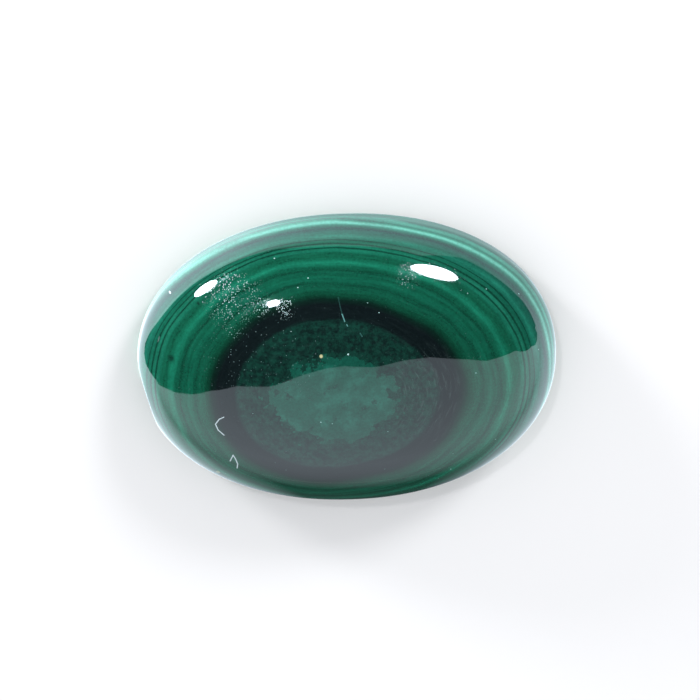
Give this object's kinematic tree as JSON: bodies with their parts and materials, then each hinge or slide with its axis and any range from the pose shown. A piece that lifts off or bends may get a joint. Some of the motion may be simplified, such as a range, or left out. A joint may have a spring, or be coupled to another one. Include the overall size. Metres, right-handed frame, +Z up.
{
  "type": "malachite cabochon",
  "caption": "Oval malachite cabochon: a domed, polished face with concentric green bands, a thin girdle and a flat back to lie on or to set.",
  "frame": {"origin": "middle of the flat back, on the surface that the stone lies on", "axes": "+X along the long axis of the oval, +Y along the short axis, +Z up through the dome"},
  "size_m": [0.0252, 0.0178, 0.0066],
  "materials": {
    "malachite": "polished, banded green from near black to mint"
  },
  "bodies": {
    "root": {"cabochon": "malachite"}
  },
  "joints": []
}
